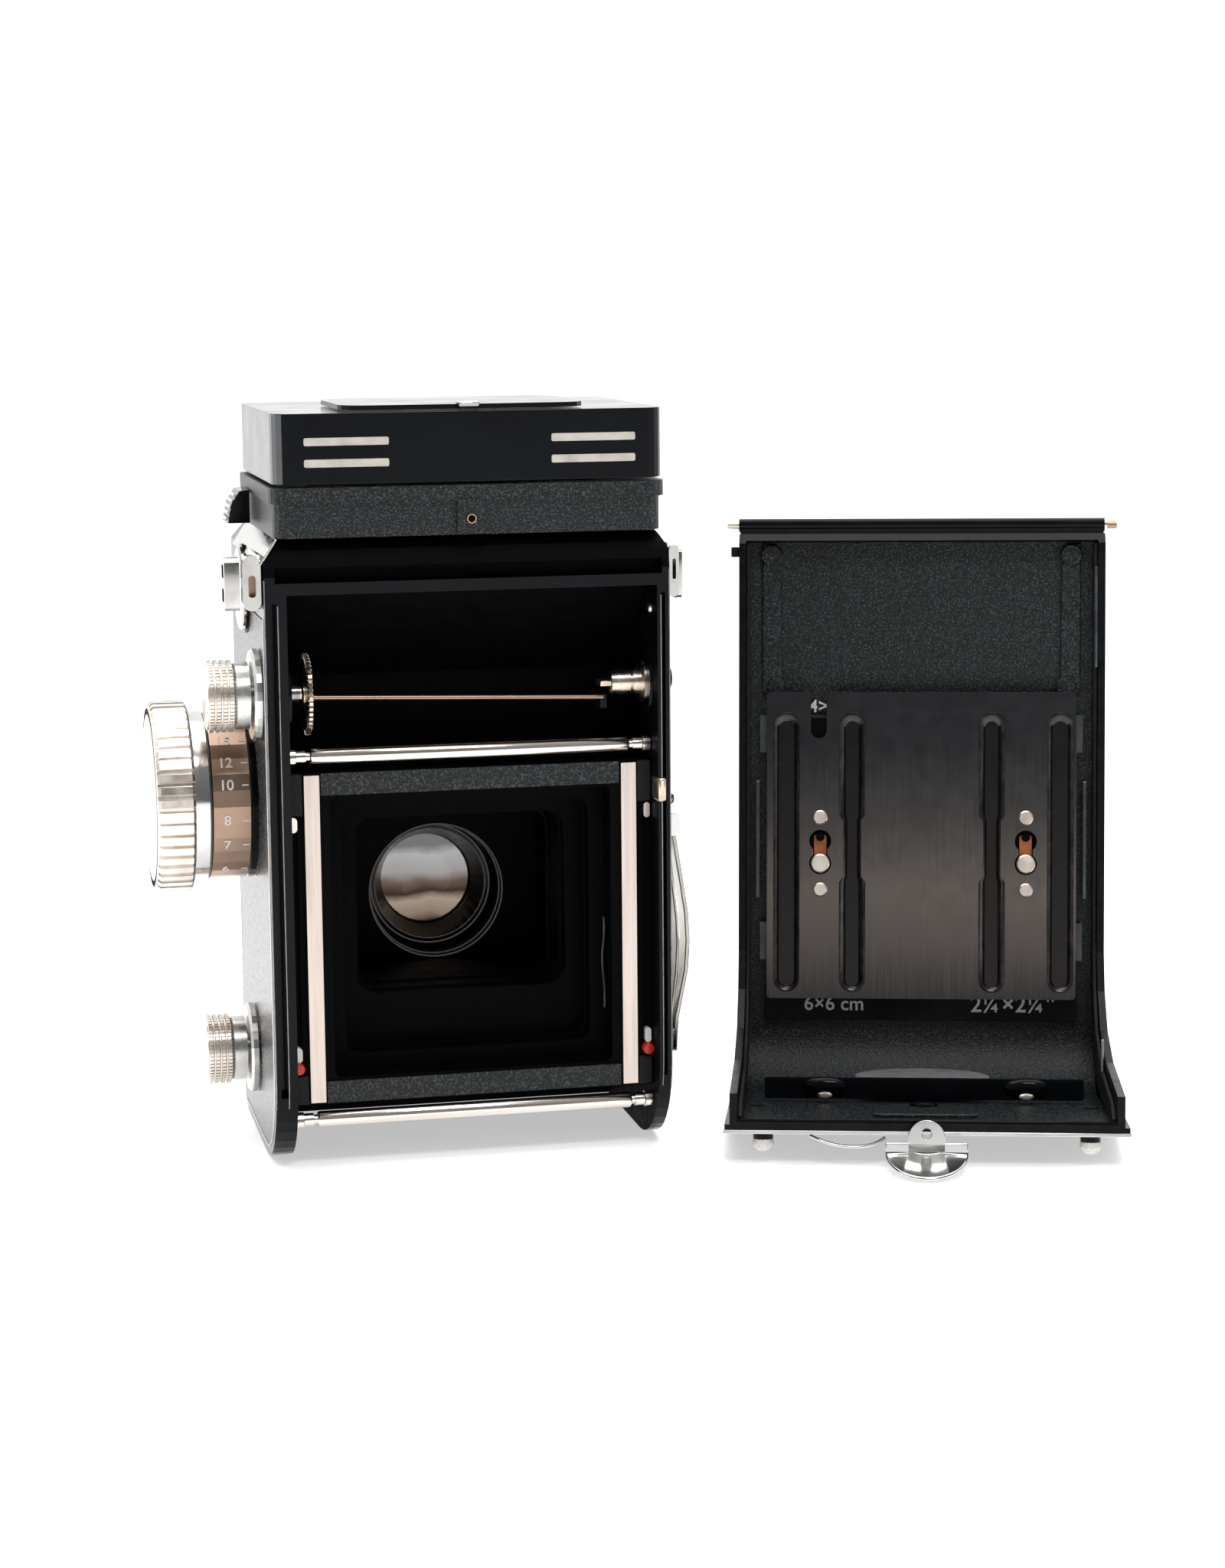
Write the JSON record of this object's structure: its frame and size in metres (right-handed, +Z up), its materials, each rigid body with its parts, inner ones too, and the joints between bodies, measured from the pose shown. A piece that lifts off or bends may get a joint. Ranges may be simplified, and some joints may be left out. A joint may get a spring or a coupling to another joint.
{
  "type": "twin lens reflex camera",
  "caption": "Twin lens reflex film camera with folding waist-level hood, side crank and focus knob, its removable back standing open beside it.",
  "frame": {"origin": "middle of the flat strip under the camera's front, on the surface it stands on", "axes": "+Z up, +Y towards the lenses, +X to the right as seen from behind the camera, where the loose back stands"},
  "size_m": [0.2065, 0.1201, 0.15],
  "materials": {
    "aperture_wheel": "polished",
    "back_latch": "polished",
    "back_lining": "black wrinkle enamel",
    "back_shell": "gloss black enamel",
    "body_shell": "gloss black enamel",
    "brake_wheel": "satin",
    "counter_dome": "gloss black enamel",
    "crank_arm": "polished",
    "crank_handle": "polished",
    "crank_hub": "polished",
    "drive_key": "bare",
    "film_gate": "matte black",
    "film_rail_left": "satin",
    "film_rail_right": "satin",
    "finder_frame": "black wrinkle enamel",
    "focus_base_ring": "gloss black enamel",
    "focus_knob_rim": "polished",
    "focus_scale_drum": "brown satin",
    "focusing_screen": "clear, coated",
    "guard_rod": "matte black",
    "hinge_barrel": "gloss black enamel",
    "hinge_pin": "brown satin",
    "hood_lid": "gloss black enamel",
    "hood_lock_lever": "gloss black enamel",
    "hood_rear_flap": "gloss black enamel",
    "hood_side_left": "gloss black enamel",
    "hood_side_right": "gloss black enamel",
    "leather_left": "grained black leather",
    "leather_right": "grained black leather",
    "lens_board": "gloss black enamel",
    "lower_bushing_left": "bare",
    "lower_bushing_right": "bare",
    "lower_film_roller": "polished",
    "lower_knob_plate": "polished",
    "lower_spool_knob": "polished",
    "magnifier": "clear, coated",
    "plate_carrier": "satin",
    "pressure_plate": "satin black",
    "reflex_mirror": "silvered",
    "shutter_release": "polished",
    "speed_wheel": "polished",
    "spool_spring": "gloss black enamel",
    "sports_finder_flap": "gloss black enamel",
    "strap_clip_left": "polished",
    "strap_clip_right": "polished",
    "strap_lug_left": "polished",
    "strap_lug_right": "polished",
    "taking_front_glass": "clear, coated",
    "taking_lens_barrel": "gloss black enamel",
    "taking_rear_glass": "clear, coated",
    "tripod_boss": "satin",
    "upper_bushing_left": "bare",
    "upper_bushing_right": "bare",
    "upper_film_roller": "polished",
    "upper_knob_plate": "polished",
    "upper_spool_knob": "polished",
    "viewing_lens_barrel": "gloss black enamel",
    "viewing_lens_glass": "clear, coated"
  },
  "bodies": {
    "camera": {"body_shell": "body_shell", "film_gate": "film_gate", "film_rail_left": "film_rail_left", "film_rail_right": "film_rail_right", "upper_bushing_left": "upper_bushing_left", "upper_bushing_right": "upper_bushing_right", "lower_bushing_left": "lower_bushing_left", "lower_bushing_right": "lower_bushing_right", "guard_rod": "guard_rod", "upper_knob_plate": "upper_knob_plate", "lower_knob_plate": "lower_knob_plate", "focus_base_ring": "focus_base_ring", "leather_left": "leather_left", "leather_right": "leather_right", "strap_lug_left": "strap_lug_left", "strap_lug_right": "strap_lug_right", "counter_dome": "counter_dome", "finder_frame": "finder_frame", "focusing_screen": "focusing_screen", "reflex_mirror": "reflex_mirror"},
    "upper_roller": {"upper_film_roller": "upper_film_roller"},
    "lower_roller": {"lower_film_roller": "lower_film_roller"},
    "brake": {"brake_wheel": "brake_wheel"},
    "takeup_key": {"drive_key": "drive_key"},
    "upper_knob": {"upper_spool_knob": "upper_spool_knob"},
    "lower_knob": {"lower_spool_knob": "lower_spool_knob"},
    "focus_knob": {"focus_knob_rim": "focus_knob_rim", "focus_scale_drum": "focus_scale_drum"},
    "lens_standard": {"lens_board": "lens_board", "taking_lens_barrel": "taking_lens_barrel", "taking_rear_glass": "taking_rear_glass", "taking_front_glass": "taking_front_glass", "viewing_lens_barrel": "viewing_lens_barrel", "viewing_lens_glass": "viewing_lens_glass"},
    "aperture": {"aperture_wheel": "aperture_wheel"},
    "speed": {"speed_wheel": "speed_wheel"},
    "release": {"shutter_release": "shutter_release"},
    "clip_left": {"strap_clip_left": "strap_clip_left"},
    "clip_right": {"strap_clip_right": "strap_clip_right"},
    "crank": {"crank_hub": "crank_hub"},
    "crank_fold": {"crank_arm": "crank_arm"},
    "crank_grip": {"crank_handle": "crank_handle"},
    "hood": {"hood_lid": "hood_lid", "magnifier": "magnifier"},
    "sports_flap": {"sports_finder_flap": "sports_finder_flap"},
    "hood_left": {"hood_side_left": "hood_side_left"},
    "hood_right": {"hood_side_right": "hood_side_right"},
    "hood_rear": {"hood_rear_flap": "hood_rear_flap"},
    "hood_lock": {"hood_lock_lever": "hood_lock_lever"},
    "back": {"back_shell": "back_shell", "hinge_barrel": "hinge_barrel", "back_lining": "back_lining", "spool_spring": "spool_spring", "tripod_boss": "tripod_boss"},
    "back_pin": {"hinge_pin": "hinge_pin"},
    "carrier": {"plate_carrier": "plate_carrier"},
    "plate": {"pressure_plate": "pressure_plate"},
    "latch": {"back_latch": "back_latch"}
  },
  "joints": [
    {"name": "upper_roller_spin", "type": "hinge", "parent": "camera", "child": "upper_roller", "pos_m": [0, -0.0468, 0.0818], "axis": [1, 0, 0], "continuous": true},
    {"name": "lower_roller_spin", "type": "hinge", "parent": "camera", "child": "lower_roller", "pos_m": [0, -0.0468, 0.0092], "axis": [1, 0, 0], "continuous": true},
    {"name": "brake_wheel_spin", "type": "hinge", "parent": "camera", "child": "brake", "pos_m": [-0.0315, -0.0425, 0.0937], "axis": [1, 0, 0], "continuous": true},
    {"name": "focus_turn", "type": "hinge", "parent": "camera", "child": "focus_knob", "pos_m": [-0.052, -0.023, 0.0713], "axis": [-1, 0, 0], "range_deg": [0, 200]},
    {"name": "lens_extend", "type": "slide", "parent": "camera", "child": "lens_standard", "axis": [0, 1, 0], "range_m": [0, 0.00596]},
    {"name": "aperture_turn", "type": "hinge", "parent": "lens_standard", "child": "aperture", "pos_m": [-0.0225, 0.013, 0.067], "axis": [0, 1, 0], "range_deg": [-60, 60]},
    {"name": "speed_turn", "type": "hinge", "parent": "lens_standard", "child": "speed", "pos_m": [0.0215, 0.013, 0.067], "axis": [0, 1, 0], "range_deg": [-60, 60]},
    {"name": "release_press", "type": "slide", "parent": "lens_standard", "child": "release", "axis": [0, -1, 0], "range_m": [0, 0.003], "stiffness_N_per_m": 300},
    {"name": "upper_knob_pull", "type": "slide", "parent": "camera", "child": "upper_knob", "axis": [-1, 0, 0], "range_m": [0, 0.006], "stiffness_N_per_m": 200},
    {"name": "lower_knob_pull", "type": "slide", "parent": "camera", "child": "lower_knob", "axis": [-1, 0, 0], "range_m": [0, 0.006], "stiffness_N_per_m": 200},
    {"name": "clip_left_swing", "type": "hinge", "parent": "camera", "child": "clip_left", "pos_m": [-0.0455, -0.0465, 0.1165], "axis": [1, 0, 0], "range_deg": [-100, 100]},
    {"name": "clip_right_swing", "type": "hinge", "parent": "camera", "child": "clip_right", "pos_m": [0.0437, -0.0465, 0.1165], "axis": [1, 0, 0], "range_deg": [-100, 100]},
    {"name": "crank_turn", "type": "hinge", "parent": "camera", "child": "crank", "pos_m": [0.04, -0.027, 0.0625], "axis": [1, 0, 0], "range_deg": [0, 350]},
    {"name": "takeup_turn", "type": "hinge", "parent": "camera", "child": "takeup_key", "pos_m": [0.032, -0.0425, 0.0937], "axis": [1, 0, 0], "range_deg": [0, 350]},
    {"name": "crank_fold_out", "type": "hinge", "parent": "crank", "child": "crank_fold", "pos_m": [0.0442, -0.027, 0.0625], "axis": [0, -1, 0], "range_deg": [0, 90]},
    {"name": "crank_grip_spin", "type": "hinge", "parent": "crank_fold", "child": "crank_grip", "pos_m": [0.042, -0.027, 0.017], "axis": [1, 0, 0], "continuous": true},
    {"name": "hood_open", "type": "hinge", "parent": "camera", "child": "hood", "pos_m": [0, 0.0042, 0.1347], "axis": [-1, 0, 0], "range_deg": [0, 110]},
    {"name": "sports_flap_open", "type": "hinge", "parent": "hood", "child": "sports_flap", "pos_m": [0, -0.014, 0.14925], "axis": [-1, 0, 0], "range_deg": [0, 90]},
    {"name": "hood_left_rise", "type": "hinge", "parent": "camera", "child": "hood_left", "pos_m": [-0.036, -0.047, 0.1365], "axis": [0, -1, 0], "range_deg": [0, 90.1]},
    {"name": "hood_right_rise", "type": "hinge", "parent": "camera", "child": "hood_right", "pos_m": [0.035, -0.047, 0.1365], "axis": [0, 1, 0], "range_deg": [0, 90.1]},
    {"name": "hood_rear_rise", "type": "hinge", "parent": "camera", "child": "hood_rear", "pos_m": [0, -0.0522, 0.1365], "axis": [1, 0, 0], "range_deg": [0, 90.1]},
    {"name": "hood_lock_push", "type": "slide", "parent": "camera", "child": "hood_lock", "axis": [0, 1, 0], "range_m": [0, 0.003], "stiffness_N_per_m": 200},
    {"name": "back_carry", "type": "slide", "parent": "camera", "child": "back", "axis": [1, 0, 0], "range_m": [0, 0.12]},
    {"name": "hinge_pin_draw", "type": "slide", "parent": "back", "child": "back_pin", "axis": [0.9588, -0.284, 0], "range_m": [0, 0.0025], "stiffness_N_per_m": 200},
    {"name": "plate_press", "type": "slide", "parent": "back", "child": "carrier", "axis": [0.2816, 0.9506, -0.1305], "range_m": [0, 0.001], "stiffness_N_per_m": 600},
    {"name": "plate_format_shift", "type": "slide", "parent": "carrier", "child": "plate", "axis": [0.0371, 0.1252, 0.9914], "range_m": [0, 0.005]},
    {"name": "latch_turn", "type": "hinge", "parent": "back", "child": "latch", "pos_m": [0.08402, -0.0791, 0.00468], "axis": [0.9588, -0.284, 0], "range_deg": [0, 40]}
  ],
  "couplings": [
    {"joint": "focus_turn", "follows": "lens_extend", "rad_per_m": 584.8},
    {"joint": "takeup_turn", "follows": "crank_turn", "ratio": 1},
    {"joint": "hood_left_rise", "follows": "hood_open", "ratio": 0.81818},
    {"joint": "hood_right_rise", "follows": "hood_open", "ratio": 0.81818},
    {"joint": "hood_rear_rise", "follows": "hood_open", "ratio": 0.81818}
  ]
}
